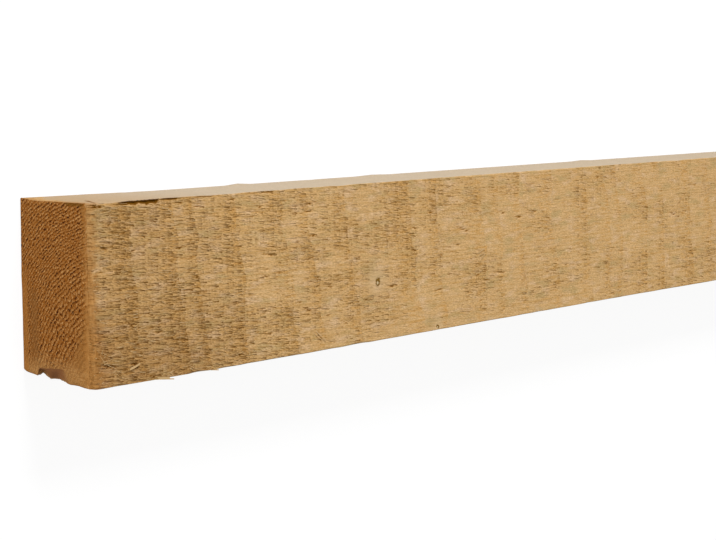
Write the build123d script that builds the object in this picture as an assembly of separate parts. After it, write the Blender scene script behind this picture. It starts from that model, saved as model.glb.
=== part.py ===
"""A rough-sawn softwood plank, one piece of stock, lying flat on its wide side.

Axes: X runs along the grain, Y across the wide face and Z up through the thickness. The origin is the
middle of the underside. The worn end is at -X, and the wide face with the worn arris looks up.
"""
from build123d import *
import os
from typing import NamedTuple

# Sawn size of the stock, in millimetres
LENGTH = 2400.0
WIDTH = 75.0
THICKNESS = 47.0

# Easing of the sawn edges: radii along the grain and round the plain end
LONG_ARRIS = 1.2
PLAIN_END_ARRIS = 0.8

# The worn arris between the upper face and the -X end: its radius at either edge of the plank
WORN_RADIUS_LEFT = 3.0
WORN_RADIUS_RIGHT = 5.5

# How far cutting shapes stand out of the timber, so that no two faces lie in one plane
CUT_MARGIN = 2.0


class Chip(NamedTuple):
    """A splinter broken out where the -X end meets the -Y edge."""

    height: float  # of its middle, over the underside
    width: float  # across the thickness, on the edge
    depth: float  # into the end face, from the edge
    run: float  # along the grain, until it comes out of the edge


# Where the chips sit: over the underside, at half the thickness and under the upper face
NOTCH_ABOVE_BED = 14.0
SPLINTER_BELOW_FACE = 10.0

SPLINTER_NOTCH = Chip(height=NOTCH_ABOVE_BED, width=7.0, depth=2.2, run=16.0)
END_SPALL = Chip(height=THICKNESS / 2, width=17.0, depth=4.0, run=5.0)
CORNER_SPLINTER = Chip(height=THICKNESS - SPLINTER_BELOW_FACE, width=8.0, depth=1.2, run=9.0)
CHIPS = (SPLINTER_NOTCH, END_SPALL, CORNER_SPLINTER)

WORN_END_X = -LENGTH / 2
RIGHT_EDGE_Y = -WIDTH / 2


def sawn_bar():
    """The sawn section, with its four long arrises eased, drawn out along the grain."""
    end_plane = Plane(origin=(WORN_END_X, 0, THICKNESS / 2), x_dir=(0, 1, 0), z_dir=(1, 0, 0))
    section = end_plane * RectangleRounded(WIDTH, THICKNESS, LONG_ARRIS)
    return extrude(section, LENGTH)


def worn_profile(y, radius):
    """What is worn off the upper arris of the -X end, at one place across the plank."""
    arc_start = (WORN_END_X + radius, y, THICKNESS)
    arc_end = (WORN_END_X, y, THICKNESS - radius)
    arc_centre = Vector(WORN_END_X + radius, y, THICKNESS - radius)
    arc_middle = arc_centre + Vector(-1, 0, 1).normalized() * radius
    over_face = (WORN_END_X + radius, y, THICKNESS + CUT_MARGIN)
    outer_corner = (WORN_END_X - CUT_MARGIN, y, THICKNESS + CUT_MARGIN)
    past_end = (WORN_END_X - CUT_MARGIN, y, THICKNESS - radius)
    outline = [
        ThreePointArc(arc_start, arc_middle, arc_end),
        Polyline(arc_end, past_end, outer_corner, over_face, arc_start),
    ]
    return make_face(outline)


def worn_arris():
    """The wear as one cutting shape, its radius growing evenly from the left edge to the right one."""
    growth = (WORN_RADIUS_RIGHT - WORN_RADIUS_LEFT) / WIDTH * CUT_MARGIN
    left = worn_profile(WIDTH / 2 + CUT_MARGIN, WORN_RADIUS_LEFT - growth)
    right = worn_profile(RIGHT_EDGE_Y - CUT_MARGIN, WORN_RADIUS_RIGHT + growth)
    return loft([left, right], ruled=True)


def broken_chip(chip):
    """A three-sided splinter: widest in the end face, running out to a point under the -Y edge."""
    under_edge = (chip.depth + CUT_MARGIN) / chip.depth
    tip = Vector(WORN_END_X + chip.run * under_edge, RIGHT_EDGE_Y - CUT_MARGIN, chip.height)
    half_width = chip.width / 2 * under_edge
    past_end = (chip.run * under_edge + CUT_MARGIN) / (chip.run * under_edge)
    in_end_face = (
        Vector(WORN_END_X, RIGHT_EDGE_Y + chip.depth, chip.height),
        Vector(WORN_END_X, RIGHT_EDGE_Y - CUT_MARGIN, chip.height - half_width),
        Vector(WORN_END_X, RIGHT_EDGE_Y - CUT_MARGIN, chip.height + half_width),
    )
    base = [tip + (corner - tip) * past_end for corner in in_end_face]
    return loft([make_face(Polyline(*base, close=True)), Vertex(*tip)], ruled=True)


def plank():
    """The bar with its plain end eased, its other end worn along the top and chipped at one edge."""
    bar = sawn_bar()
    plain_end = bar.faces().sort_by(Axis.X)[-1]
    bar = fillet(plain_end.edges(), PLAIN_END_ARRIS)
    return bar - worn_arris() - [broken_chip(chip) for chip in CHIPS]


def main():
    os.makedirs("parts", exist_ok=True)
    timber = plank()
    export_step(timber, "parts/plank.step")
    size = timber.bounding_box().size
    print(f"plank {size.X:.1f} x {size.Y:.1f} x {size.Z:.1f} mm, {timber.volume / 1e6:.3f} litres")


main()
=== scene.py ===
# %% [markdown]
# # A rough-sawn plank
# The object is one piece of softwood as it leaves the saw: a plain bar whose whole character is in its
# surface. The saw tore the fibres, so the wide face is a felt of dark little tears and lifted slivers in
# bands across the grain, while the end shows the growth rings. This lesson builds that surface in layers:
# a mesh with real relief, slivers of fibre that stand on it, and a material that carries the finest detail.

# %% Load the frame
import math
from typing import NamedTuple

import bmesh
import bpy
import numpy as np
from mathutils import Matrix, Vector


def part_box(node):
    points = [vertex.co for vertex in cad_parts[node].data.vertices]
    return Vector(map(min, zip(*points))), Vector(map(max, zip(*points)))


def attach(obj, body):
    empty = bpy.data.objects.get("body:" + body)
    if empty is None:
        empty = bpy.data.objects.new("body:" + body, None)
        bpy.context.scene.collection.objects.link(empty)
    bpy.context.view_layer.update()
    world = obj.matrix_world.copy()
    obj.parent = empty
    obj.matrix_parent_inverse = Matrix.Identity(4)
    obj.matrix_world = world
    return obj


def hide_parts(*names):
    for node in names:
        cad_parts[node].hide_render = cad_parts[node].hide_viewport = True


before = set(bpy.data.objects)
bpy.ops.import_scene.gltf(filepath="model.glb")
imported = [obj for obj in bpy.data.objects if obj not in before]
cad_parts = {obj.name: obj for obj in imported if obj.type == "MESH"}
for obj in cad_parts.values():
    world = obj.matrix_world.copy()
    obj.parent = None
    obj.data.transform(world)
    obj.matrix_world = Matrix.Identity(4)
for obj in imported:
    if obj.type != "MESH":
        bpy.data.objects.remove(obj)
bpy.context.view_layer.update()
plank_low, plank_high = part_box("plank")
MM = 0.001
LENGTH = (plank_high.x - plank_low.x) / MM
WIDTH = (plank_high.y - plank_low.y) / MM
THICKNESS = (plank_high.z - plank_low.z) / MM
print(f"plank {LENGTH:.0f} x {WIDTH:.0f} x {THICKNESS:.0f} mm")

# %% [markdown]
# ## The camera
# The photograph stands the plank on its narrow edge; here it lies flat, as stock is stored. Turning plank
# and camera together keeps the view: what was up in the photograph is now +Y, and the camera looks down
# on the wide face. The place and angles come from the plank's own edges, and the focal length from how
# fast they draw together.

# %% Camera
PHOTO_WIDTH_PX = 716
FOCAL_LENGTH_PX = 1531
SENSOR_WIDTH_MM = 36.0
YAW, PITCH, ROLL = (math.radians(angle) for angle in (45.09, 6.42, 1.06))
CAMERA_BEFORE_END = 0.3482
CAMERA_FROM_RIGHT_EDGE = 0.1144
CAMERA_OVER_FACE = 0.5011

ALONG, PHOTO_UP, INTO_FACE = Vector((1, 0, 0)), Vector((0, 1, 0)), Vector((0, 0, -1))


def photo_camera():
    """The camera of the photograph, turned with the plank."""
    level = math.cos(YAW) * ALONG + math.sin(YAW) * INTO_FACE
    forward = math.cos(PITCH) * level - math.sin(PITCH) * PHOTO_UP
    right = math.sin(YAW) * ALONG - math.cos(YAW) * INTO_FACE
    down = forward.cross(right)
    rolled_right = math.cos(ROLL) * right + math.sin(ROLL) * down
    rolled_down = math.cos(ROLL) * down - math.sin(ROLL) * right
    data = bpy.data.cameras.new("photo_camera")
    data.sensor_width = SENSOR_WIDTH_MM
    data.lens = FOCAL_LENGTH_PX / PHOTO_WIDTH_PX * SENSOR_WIDTH_MM
    camera = bpy.data.objects.new("photo_camera", data)
    axes = Matrix((rolled_right, -rolled_down, -forward)).transposed().to_4x4()
    axes.translation = (
        plank_low.x - CAMERA_BEFORE_END,
        plank_low.y + CAMERA_FROM_RIGHT_EDGE,
        plank_high.z + CAMERA_OVER_FACE,
    )
    camera.matrix_world = axes
    bpy.context.scene.collection.objects.link(camera)
    return camera


bpy.context.scene.camera = photo_camera()
print("lens", round(bpy.context.scene.camera.data.lens, 1), "mm")

# %% [markdown]
# ## Seeded noise
# Every uneven thing below, from a wandering saw line to a nick in an arris, starts from one small tool:
# random numbers on a grid, blended smoothly between the grid's corners. The seed fixes the numbers, so the
# plank comes out the same every time.

# %% Noise
LATTICE = 256


def smooth_noise(u, v, seed):
    """Noise from -1 to 1 at places (u, v), with one new random number per unit square."""
    table = np.random.default_rng(seed).uniform(-1, 1, (LATTICE, LATTICE))
    column, row = np.floor(u).astype(int), np.floor(v).astype(int)
    across, up = u - column, v - row
    across = across * across * (3 - 2 * across)
    up = up * up * (3 - 2 * up)

    def corner(right, above):
        return table[(column + right) % LATTICE, (row + above) % LATTICE]

    lower = corner(0, 0) * (1 - across) + corner(1, 0) * across
    upper = corner(0, 1) * (1 - across) + corner(1, 1) * across
    return lower * (1 - up) + upper * up


print("noise at four places:", np.round(smooth_noise(np.arange(4.0), np.zeros(4), 1), 2))

# %% [markdown]
# ## A grid wrapped round the bar
# The mesh is a tube of small squares round the bar, closed by a grid on each end. Its lines lie close
# together where there is something to see, on the upper face beside the worn end, and far apart elsewhere.
# `stations` are the places along the grain, and `columns` the places round the section, both in
# millimetres; column 0 is the middle of the upper face and the seam runs along the underside.

# %% Stations and columns
HALF_WIDTH = WIDTH / 2
HALF_ROUND = WIDTH + THICKNESS
DETAILED_LENGTH = 490.0


def places(*runs):
    """Places along a line from 0: each run is (where it ends, about how long its steps are)."""
    made = [0.0]
    for end, step in runs:
        start = made[-1]
        count = max(1, round((end - start) / step))
        made.extend(start + (end - start) * (k + 1) / count for k in range(count))
    return np.array(made)


stations = places(
    (8, 0.7),
    (200, 1.5),
    (DETAILED_LENGTH, 2.2),
    (DETAILED_LENGTH + 30, 3),
    (DETAILED_LENGTH + 90, 6),
    (DETAILED_LENGTH + 230, 12),
    (LENGTH - 10, 36),
    (LENGTH, 1.25),
)


def half_columns(edge_step):
    """Columns from the middle of the upper face, over one edge and on to the middle of the underside."""
    return places(
        (HALF_WIDTH - 1.5, 0.45),
        (HALF_WIDTH + 1.5, 0.3),
        (HALF_WIDTH + 5.5, 1),
        (HALF_WIDTH + THICKNESS - 1.5, edge_step),
        (HALF_WIDTH + THICKNESS + 1.5, 0.75),
        (HALF_ROUND, 6.5),
    )


columns = np.concatenate([-half_columns(edge_step=1.4)[:0:-1], half_columns(edge_step=5.0)[:-1]])


def on_section(around):
    """y and z of places round the section while its corners are still sharp."""
    way = np.abs(around)
    over_edge = np.clip(way - HALF_WIDTH - THICKNESS, 0, None)
    y = HALF_WIDTH - np.clip(HALF_WIDTH - way, 0, None) - over_edge
    z = THICKNESS - np.clip(way - HALF_WIDTH, 0, THICKNESS)
    return np.copysign(y, around), z


print(len(stations), "stations x", len(columns), "columns")

# %% [markdown]
# ## Worn and broken edges
# The solid has eased long arrises, one worn arris at the photographed end and three chips. The mesh starts
# from the same sizes and adds what only a close look shows: uneven arrises with one rubbed stretch, the
# ragged outline of the broken edge, and slivers that lift. An edge is eased by pulling the square corner
# zone onto a quarter circle: points keep their order, so no face folds. The radius of a long arris changes
# every few millimetres, which is what keeps it from looking drawn with a ruler.

# %% Long arrises
LONG_ARRIS = 1.2


def ease(first, second, radius):
    """Distances from two faces that meet, changed so that their edge becomes round."""
    a = np.clip(1 - first / radius, 0, None)
    b = np.clip(1 - second / radius, 0, None)
    near = (a > 0) & (b > 0)
    pull = np.where(near, np.maximum(a, b) / np.maximum(np.hypot(a, b), 1e-9), 1)
    eased_first = np.where(near, radius * (1 - a * pull), first)
    eased_second = np.where(near, radius * (1 - b * pull), second)
    return eased_first, eased_second


class Swelling(NamedTuple):
    """A place along the grain where a size grows: its middle, half length and most growth."""

    along: float
    half_length: float
    growth: float


def swollen(x, swellings):
    """How much a size grows at each place along the grain."""
    return sum(s.growth * np.clip(1 - np.abs(x - s.along) / s.half_length, 0, 1) for s in swellings)


class LongArrises(NamedTuple):
    """The upper and the lower arris of one side: their seeds, and where the upper one is rubbed."""

    side: int
    upper_seed: int
    lower_seed: int
    rubbed: tuple


LONG_ARRISES = (
    LongArrises(side=1, upper_seed=11, lower_seed=31, rubbed=(Swelling(12.0, 9.0, 1.8),)),
    LongArrises(side=-1, upper_seed=13, lower_seed=33, rubbed=()),
)


def arris_radius(x, seed, rubbed=()):
    """The radius of a long arris along the grain: a little sharper here, rubbed or nicked there."""
    waver = 0.45 * smooth_noise(x / 7, np.zeros_like(x), seed)
    nicks = np.clip(smooth_noise(x / 11, np.ones_like(x), seed + 1) - 0.45, 0, None)
    return LONG_ARRIS * (0.45 + 0.6 * waver) + 1.6 * nicks + swollen(x, rubbed)


def with_long_arrises(x, y, z):
    """Points of the bar with its four long arrises eased."""
    for side, upper_seed, lower_seed, rubbed in LONG_ARRISES:
        inward, down = ease(HALF_WIDTH - side * y, THICKNESS - z, arris_radius(x, upper_seed, rubbed))
        y, z = side * (HALF_WIDTH - inward), THICKNESS - down
        inward, up = ease(HALF_WIDTH - side * y, z, arris_radius(x, lower_seed))
        y, z = side * (HALF_WIDTH - inward), up
    return x, y, z


left_radius = arris_radius(stations, LONG_ARRISES[0].upper_seed, LONG_ARRISES[0].rubbed)
print(f"upper left arris: radius {left_radius.min():.1f} to {left_radius.max():.1f} mm")

# %% Broken edge


class Break(NamedTuple):
    """One place on the broken right edge of the worn end: height, depth and run along the grain."""

    height: float
    depth: float
    run: float


BREAKS = (
    Break(height=0.0, depth=3.3, run=10.5),
    Break(height=5.0, depth=2.75, run=8.8),
    Break(height=11.0, depth=2.15, run=8.2),
    Break(height=11.9, depth=4.8, run=8.2),
    Break(height=12.8, depth=5.3, run=9.0),
    Break(height=14.0, depth=5.3, run=15.0),
    Break(height=16.8, depth=5.5, run=8.6),
    Break(height=19.6, depth=6.0, run=5.6),
    Break(height=23.0, depth=6.2, run=7.0),
    Break(height=26.0, depth=6.4, run=7.6),
    Break(height=29.2, depth=6.6, run=5.9),
    Break(height=30.8, depth=5.2, run=4.6),
    Break(height=33.0, depth=0.9, run=3.6),
    Break(height=40.0, depth=1.1, run=4.7),
    Break(height=46.0, depth=0.5, run=4.0),
)
# How far the break sinks for each millimetre along the grain.
BREAK_LEAN = 1.5


def broken_depth(x, z):
    """How far the right edge is broken back at the worn end; the break leans down as it runs in."""
    heights, depths, runs = zip(*BREAKS)
    leaning = z + BREAK_LEAN * x + 0.5 * smooth_noise(x / 2, z / 2, 19)
    depth = np.interp(leaning, heights, depths)
    run = np.interp(leaning, heights, runs)
    return depth * np.clip(1 - x / run, 0, None)


print("the break is up to", max(one.depth for one in BREAKS), "mm deep")

# %% Lifted slivers
BACK_SLIVERS = (
    Swelling(0.0, 70.0, 1.0),
    Swelling(119.0, 8.0, 0.6),
    Swelling(209.0, 12.0, 0.4),
    Swelling(385.0, 9.0, 0.5),
)
SLIVER_REACH = 10.0


def back_slivers(x, z):
    """How far slivers lift the left edge near the underside."""
    return swollen(x, BACK_SLIVERS) * np.clip(1 - z / SLIVER_REACH, 0, 1)


print(len(BACK_SLIVERS), "slivers along the lower left arris")

# %% [markdown]
# The ends come last. The worn end has its rounded upper arris, which widens from left to right, the break
# in its right edge, and a saw cut that isn't quite square. The plain end only has its upright arrises eased.

# %% Worn and plain ends
WORN_RADIUS_LEFT = 3.0
WORN_RADIUS_RIGHT = 5.5
# Radii of upright arrises: the right one of the worn end, and both of the plain end.
WORN_UPRIGHT_ARRIS = 1.6
PLAIN_UPRIGHT_ARRIS = 0.8
# How far in from the right edge the break still moves points.
BREAK_REACH = 14.0
# How far out of square the cut is at each edge, and how far in that fades out.
END_LEAN = 0.95
END_LEAN_REACH = 60.0


def with_worn_end(x, y, z):
    """Points of the bar with the photographed end worn, broken and out of square."""
    radius = WORN_RADIUS_LEFT + (WORN_RADIUS_RIGHT - WORN_RADIUS_LEFT) * (0.5 - y / WIDTH)
    radius = radius * (1 + 0.18 * smooth_noise(y / 5, np.zeros_like(y), 17))
    x, down = ease(x, THICKNESS - z, radius)
    z = THICKNESS - down
    radius = WORN_UPRIGHT_ARRIS * (1 + 0.5 * smooth_noise(z / 4, np.zeros_like(z), 18))
    x, inward = ease(x, HALF_WIDTH + y, radius)
    y = inward - HALF_WIDTH
    y = y + back_slivers(x, z) * np.clip(y / HALF_WIDTH, 0, 1)
    y = y + broken_depth(x, z) * np.clip(1 - (y + HALF_WIDTH) / BREAK_REACH, 0, 1)
    x = x + END_LEAN * y / HALF_WIDTH * np.clip(1 - x / END_LEAN_REACH, 0, 1)
    return x, y, z


def shaped(x, y, z):
    """Points of the sharp bar, in millimetres from the worn end, moved onto the worn one."""
    x, y, z = with_worn_end(*with_long_arrises(x, y, z))
    from_end = LENGTH - x
    for inward, sign in ((HALF_WIDTH - y, -1), (HALF_WIDTH + y, 1)):
        from_end, eased = ease(from_end, inward, PLAIN_UPRIGHT_ARRIS)
        y = y + sign * (eased - inward)
    return LENGTH - from_end, y, z


corner = shaped(*np.array([[0.0], [-HALF_WIDTH], [THICKNESS]]))
print("upper right corner of the worn end:", np.round(np.ravel(corner), 1))

# %% [markdown]
# ## How the saw left the face
# Each bite of the blade leaves a line across the grain, 10 to 40 mm from the next, and the fibres are torn
# out up to that line. `saw_phase` counts the lines along the plank, so its fraction says how near the
# next one is, and `torn_patch` says how badly a patch was torn. Both change slowly, so they are kept on
# the mesh's points, where the relief, the fibres and the material all read the same values.

# %% Saw lines
SEEN_LINES = (24, 47, 57, 80, 109, 125, 148, 191, 208, 241, 254, 272, 301, 330, 348, 358, 385, 402, 431, 452)
LEAST_SPACING, MOST_SPACING = 11.0, 33.0


def saw_lines():
    """Places of the saw lines, the seen ones first and then more of the same kind to the plain end."""
    rng = np.random.default_rng(21)
    count = int(LENGTH / LEAST_SPACING)
    further = SEEN_LINES[-1] + np.cumsum(rng.uniform(LEAST_SPACING, MOST_SPACING, count))
    return np.concatenate([[-20.0, 0.0], SEEN_LINES, further])


SAW_LINES = saw_lines()


def saw_drift(x, around):
    """How far the saw lines stray along the grain, in millimetres."""
    wide = 3.0 * smooth_noise(x / 60, around / 40, 23)
    close = 2.0 * smooth_noise(x / 26, around / 10, 29)
    return wide + close + 0.12 * around


def saw_phase(x, around):
    """How many saw lines lie before a place; the fraction is the way to the next one."""
    return np.interp(x + saw_drift(x, around), SAW_LINES, np.arange(len(SAW_LINES)))


# %% Torn patches


def spot(x, around, middle, reach):
    """1 at a middle place, falling to 0 beyond its reach along and round the plank."""
    far = np.hypot((x - middle[0]) / reach[0], (around - middle[1]) / reach[1])
    return np.clip(1 - far, 0, 1)


TORN_SPOTS = (
    ((118, 8), (14, 8)),
    ((127, -6), (16, 7)),
    ((152, 17), (9, 6)),
    ((172, 13), (24, 9)),
    ((188, 3), (9, 9)),
    ((206, 25), (15, 12)),
    ((166, -17), (12, 8)),
    ((168, -28), (20, 6)),
)
CLEAN_SPOTS = (
    ((195, -21), (36, 18)),
    ((133, -31), (34, 15)),
    ((240, -40), (140, 20)),
    ((93, 6), (9, 6)),
    ((73, 18), (7, 6)),
    ((92, -8), (10, 5)),
    ((140, 3), (9, 6)),
)


def torn_patch(x, around):
    """From 0, cut clean, to 1, badly torn: worst near the worn end and in the listed spots."""
    way = np.abs(around)
    wide_face = (way < HALF_WIDTH) | (way > HALF_WIDTH + THICKNESS)
    patches = 0.43 + 0.30 * smooth_noise(x / 22, around / 10, 31)
    patches = patches + 0.22 * smooth_noise(x / 140, around / 45, 37)
    further = 1 - 0.20 * np.clip((x - 180) / 180, 0, 1)
    near_end = 0.52 * np.exp(-x / 100)
    right_corner = 0.35 * spot(x, around, (30, -26), (90, 34))
    seen = sum(0.45 * spot(x, around, middle, reach) for middle, reach in TORN_SPOTS)
    clean = sum(0.5 * spot(x, around, middle, reach) for middle, reach in CLEAN_SPOTS)
    torn = patches * further + near_end + right_corner + seen - clean
    return np.clip(np.where(wide_face, torn, 0.25 * patches), 0, 1)


print(len(SAW_LINES), "saw lines, the first at", SAW_LINES[2:6])

# %% [markdown]
# ## Tears as real relief
# A tear is a shallow groove along the grain that deepens until it stops at a saw line. Each one is a head,
# a length, a width and a depth, drawn from the seeded generator, and it is pressed into the rows of the
# grid that it crosses. The finest tears, thinner than the grid, are left to the material.

# %% Draw the tears
TEAR_COUNT = 2600
TEAR_SLANT = -0.10


class Tears(NamedTuple):
    """Torn grooves: where each head is, and its length, width, depth and slant."""

    head: np.ndarray
    around: np.ndarray
    length: np.ndarray
    width: np.ndarray
    depth: np.ndarray
    slant: np.ndarray


def draw_tears(count, seed):
    """Tears on the detailed stretch of the upper face, thickest where the patch is badly torn."""
    rng = np.random.default_rng(seed)
    tries = count * 3
    around = rng.uniform(-HALF_WIDTH, HALF_WIDTH, tries)
    seen_lines = SAW_LINES[(SAW_LINES > 0) & (SAW_LINES < DETAILED_LENGTH)]
    head = rng.choice(seen_lines, tries) - np.abs(rng.normal(0, 1.5, tries))
    head = head - saw_drift(head, around)
    loose = rng.random(tries) < 0.75
    head = np.where(loose, rng.uniform(1, DETAILED_LENGTH, tries), head)
    chosen = rng.random(tries) < torn_patch(head, around) * 0.7
    chosen &= (head > 1) & (head < DETAILED_LENGTH)
    keep = np.flatnonzero(chosen)[:count]
    return Tears(
        head=head[keep],
        around=around[keep],
        length=rng.gamma(3.0, 1.2, len(keep)) + 1.2,
        width=rng.uniform(0.28, 0.55, len(keep)),
        depth=rng.gamma(2.0, 0.07, len(keep)) + 0.05,
        slant=TEAR_SLANT + rng.normal(0, 0.06, len(keep)),
    )


drawn_tears = draw_tears(TEAR_COUNT, 41)
print(len(drawn_tears.head), "tears drawn")

# %% [markdown]
# The boldest tears of the real plank are placed one by one, so that the face has its own look and not just
# the right kind of look. The first few are the split along the upper left arris.

# %% Seen tears


class SeenTear(NamedTuple):
    """A bold tear: its head along and across the upper face, its length, width and slant."""

    head: float
    around: float
    length: float
    width: float
    slant: float


SEEN_TEARS = (
    SeenTear(21.5, 36.7, 6.0, 1.4, 0.0),
    SeenTear(25.0, 36.7, 6.0, 1.4, 0.0),
    SeenTear(31.0, 36.6, 6.0, 1.4, 0.0),
    SeenTear(36.4, 36.6, 8.0, 1.4, 0.0),
    SeenTear(46.0, 36.9, 10.0, 0.7, 0.0),
    SeenTear(66.0, 37.0, 14.0, 0.45, 0.0),
    SeenTear(100.0, 36.6, 20.0, 0.4, 0.0),
    SeenTear(33.4, -36.6, 7.2, 0.6, -0.43),
    SeenTear(4.7, 36.2, 4.0, 0.5, -0.2),
    SeenTear(11.5, 28.1, 3.0, 0.55, -0.3),
    SeenTear(10.1, 18.8, 6.0, 0.65, -0.2),
    SeenTear(23.9, 17.0, 4.0, 0.55, -0.1),
    SeenTear(9.3, 14.7, 5.0, 0.55, -0.1),
    SeenTear(47.3, 16.1, 4.0, 0.6, -0.1),
    SeenTear(46.9, 12.3, 3.5, 0.55, 0.0),
    SeenTear(57.0, 2.9, 4.5, 0.55, -0.35),
    SeenTear(77.8, 34.7, 6.0, 0.5, -0.05),
    SeenTear(92.3, 30.2, 4.5, 0.5, -0.5),
    SeenTear(99.5, 8.5, 9.0, 0.55, -0.22),
    SeenTear(96.4, -1.1, 8.0, 0.5, -0.4),
    SeenTear(53.9, -2.0, 8.0, 0.5, -0.05),
    SeenTear(22.6, -13.8, 7.5, 0.55, -0.5),
    SeenTear(25.4, -22.2, 4.5, 0.55, -0.8),
    SeenTear(33.5, -15.6, 4.5, 0.5, -0.1),
    SeenTear(14.7, -17.7, 5.0, 0.55, -0.1),
    SeenTear(13.0, -29.5, 11.0, 0.6, -0.25),
    SeenTear(23.4, -29.6, 3.0, 0.75, -0.2),
    SeenTear(19.8, -32.4, 3.0, 0.6, 0.1),
    SeenTear(49.6, -23.4, 4.0, 0.55, -0.5),
    SeenTear(79.5, -33.0, 2.5, 0.75, 0.0),
    SeenTear(79.2, -21.8, 3.0, 0.6, -0.2),
    SeenTear(122.8, 30.0, 4.5, 0.55, 0.0),
    SeenTear(122.8, 26.5, 6.0, 0.55, -0.05),
    SeenTear(124.2, 15.3, 4.5, 0.6, -0.2),
    SeenTear(131.4, 19.7, 4.0, 0.5, -0.5),
    SeenTear(147.3, 6.7, 3.5, 0.6, -0.1),
    SeenTear(115.7, -14.1, 3.5, 0.6, -0.2),
    SeenTear(121.7, -18.5, 8.0, 0.55, -0.3),
    SeenTear(156.9, -17.2, 3.5, 0.55, -0.2),
    SeenTear(144.2, -27.2, 8.5, 0.45, -0.5),
    SeenTear(175.6, -12.8, 4.8, 0.7, -0.15),
    SeenTear(191.2, 13.8, 4.5, 0.55, -0.4),
    SeenTear(202.9, 20.5, 4.5, 0.6, -0.3),
    SeenTear(215.1, 23.2, 10.0, 0.5, -0.2),
    SeenTear(229.2, 9.6, 11.0, 0.55, -0.4),
    SeenTear(223.1, 3.0, 5.0, 0.55, -0.5),
    SeenTear(238.5, -13.4, 7.0, 0.55, -0.4),
    SeenTear(244.9, -16.5, 6.0, 0.55, -0.25),
    SeenTear(257.7, -13.7, 14.0, 0.45, -0.1),
    SeenTear(257.9, 16.5, 5.0, 0.55, -0.5),
    SeenTear(270.7, 14.0, 4.5, 0.6, -0.1),
    SeenTear(283.9, 16.0, 12.0, 0.5, -0.15),
)
DEPTH_OF_WIDTH = 1.1
seen = np.array(SEEN_TEARS).T
seen_tears = Tears(*seen[:4], DEPTH_OF_WIDTH * seen[3], seen[4])
tears = Tears(*(np.concatenate(pair) for pair in zip(drawn_tears, seen_tears)))
print(len(tears.head), "tears in all")

# %% Press the tears into the grid


def pressed(tears):
    """How deep the tears are at each station and column."""
    pits = np.zeros((len(stations), len(columns)))
    for head, around, length, width, depth, slant in zip(*tears):
        first, last = np.searchsorted(stations, (head - length, head))
        reach = width + abs(slant) * length
        left, right = np.searchsorted(columns, (around - reach, around + reach))
        x = stations[first:last, None]
        run = 1 - (head - x) / length
        middle = around + slant * (x - head)
        across = np.abs(columns[None, left:right] - middle) / (width * (0.3 + 0.7 * run))
        pit = depth * np.sqrt(run) * np.clip(1 - across**2, 0, None)
        pits[first:last, left:right] = np.maximum(pits[first:last, left:right], pit)
    return pits


tear_depth = pressed(tears)
print("deepest tear", round(float(tear_depth.max()), 2), "mm")

# %% [markdown]
# ## The growth rings
# The rings are cylinders about the heart of the tree, which lay just outside this piece, off its upper
# right edge. Where the cylinders meet a face they draw its grain, and where they meet the end they draw
# arcs. Hard summer wood stands a little proud of soft spring wood, so the relief uses the same rings as
# the colour will.

# %% Ring relief
HEART_Y, HEART_Z = -62.0, 75.0
GROWTH_CHANGES = (0.0, 76.0, 86.0, 98.0, 112.0, 200.0)
RING_WIDTHS = (2.1, 1.6, 1.3, 1.45, 1.6)


def ring_count(x, y, z):
    """How many rings lie between a point and the heart, with the tree's own slow bends in them."""
    radius = np.hypot(y - HEART_Y, z - HEART_Z)
    radius = radius + 0.8 * smooth_noise(x / 160, (y + z) / 24, 43) + 0.5 * smooth_noise(y / 6, z / 6, 44)
    counts = np.cumsum([0, *np.diff(GROWTH_CHANGES) / RING_WIDTHS])
    return np.interp(radius, GROWTH_CHANGES, counts)


def summer_wood(count):
    """1 on the hard dark line at the end of each ring, falling to 0 in its soft part."""
    part = count % 1
    return np.clip((part - 0.45) / 0.4, 0, 1) * np.clip((1 - part) / 0.08, 0, 1)


far_corners = np.array([[0, 0], [HALF_WIDTH, -HALF_WIDTH], [0, THICKNESS]])
print("rings at two corners of the worn end:", np.round(ring_count(*far_corners)))

# %% [markdown]
# ## Build the plank
# The tube's points are shaped, then moved in or out along their normals by the relief: slow waves, the
# ridge beside each saw line, the rings and the tears. The ends are small grids of their own. A strip of
# triangles joins each to the tube's rim, walking round both rims and always stepping the one behind.

# %% Relief of the long faces


def face_relief(x, around):
    """Relief of the tube's points, in millimetres, mostly inwards."""
    y, z = on_section(around)
    waves = 0.16 * smooth_noise(x / 120, around / 30, 47)
    ridge = 0.2 * (0.5 - saw_phase(x, around) % 1) * torn_patch(x, around)
    rings = 0.03 * summer_wood(ring_count(x, y, z))
    fuzz = 0.07 * smooth_noise(x / 4, around / 0.9, 53) * torn_patch(x, around)
    return waves + ridge + rings + fuzz - 0.08


def end_relief(y, z):
    """Relief of an end: rings, fuzz and the saw's own slow waves."""
    rings = 0.05 * summer_wood(ring_count(np.zeros_like(y), y, z))
    fuzz = 0.05 * smooth_noise(y / 0.9, z / 0.9, 59)
    waves = 0.15 * smooth_noise(y / 12, z / 12, 61)
    return rings + fuzz + waves - 0.1


end_middle = end_relief(np.zeros(1), np.full(1, THICKNESS / 2))
print("relief in the middle of an end:", np.round(end_middle, 2), "mm")

# %% End grids


def ring_place(y, z):
    """The place round the section nearest to each point of an end's rim."""
    u, v = y / HALF_WIDTH, (2 * z - THICKNESS) / THICKNESS
    scale = 1 / np.maximum(np.abs(u), np.abs(v))
    y, z = u * scale * HALF_WIDTH, (v * scale + 1) * THICKNESS / 2
    upper = np.isclose(z, THICKNESS)
    under = np.isclose(z, 0)
    side = HALF_WIDTH + THICKNESS - z
    way = np.where(upper, np.abs(y), np.where(under, HALF_ROUND - np.abs(y), side))
    return np.copysign(way, y)


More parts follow.
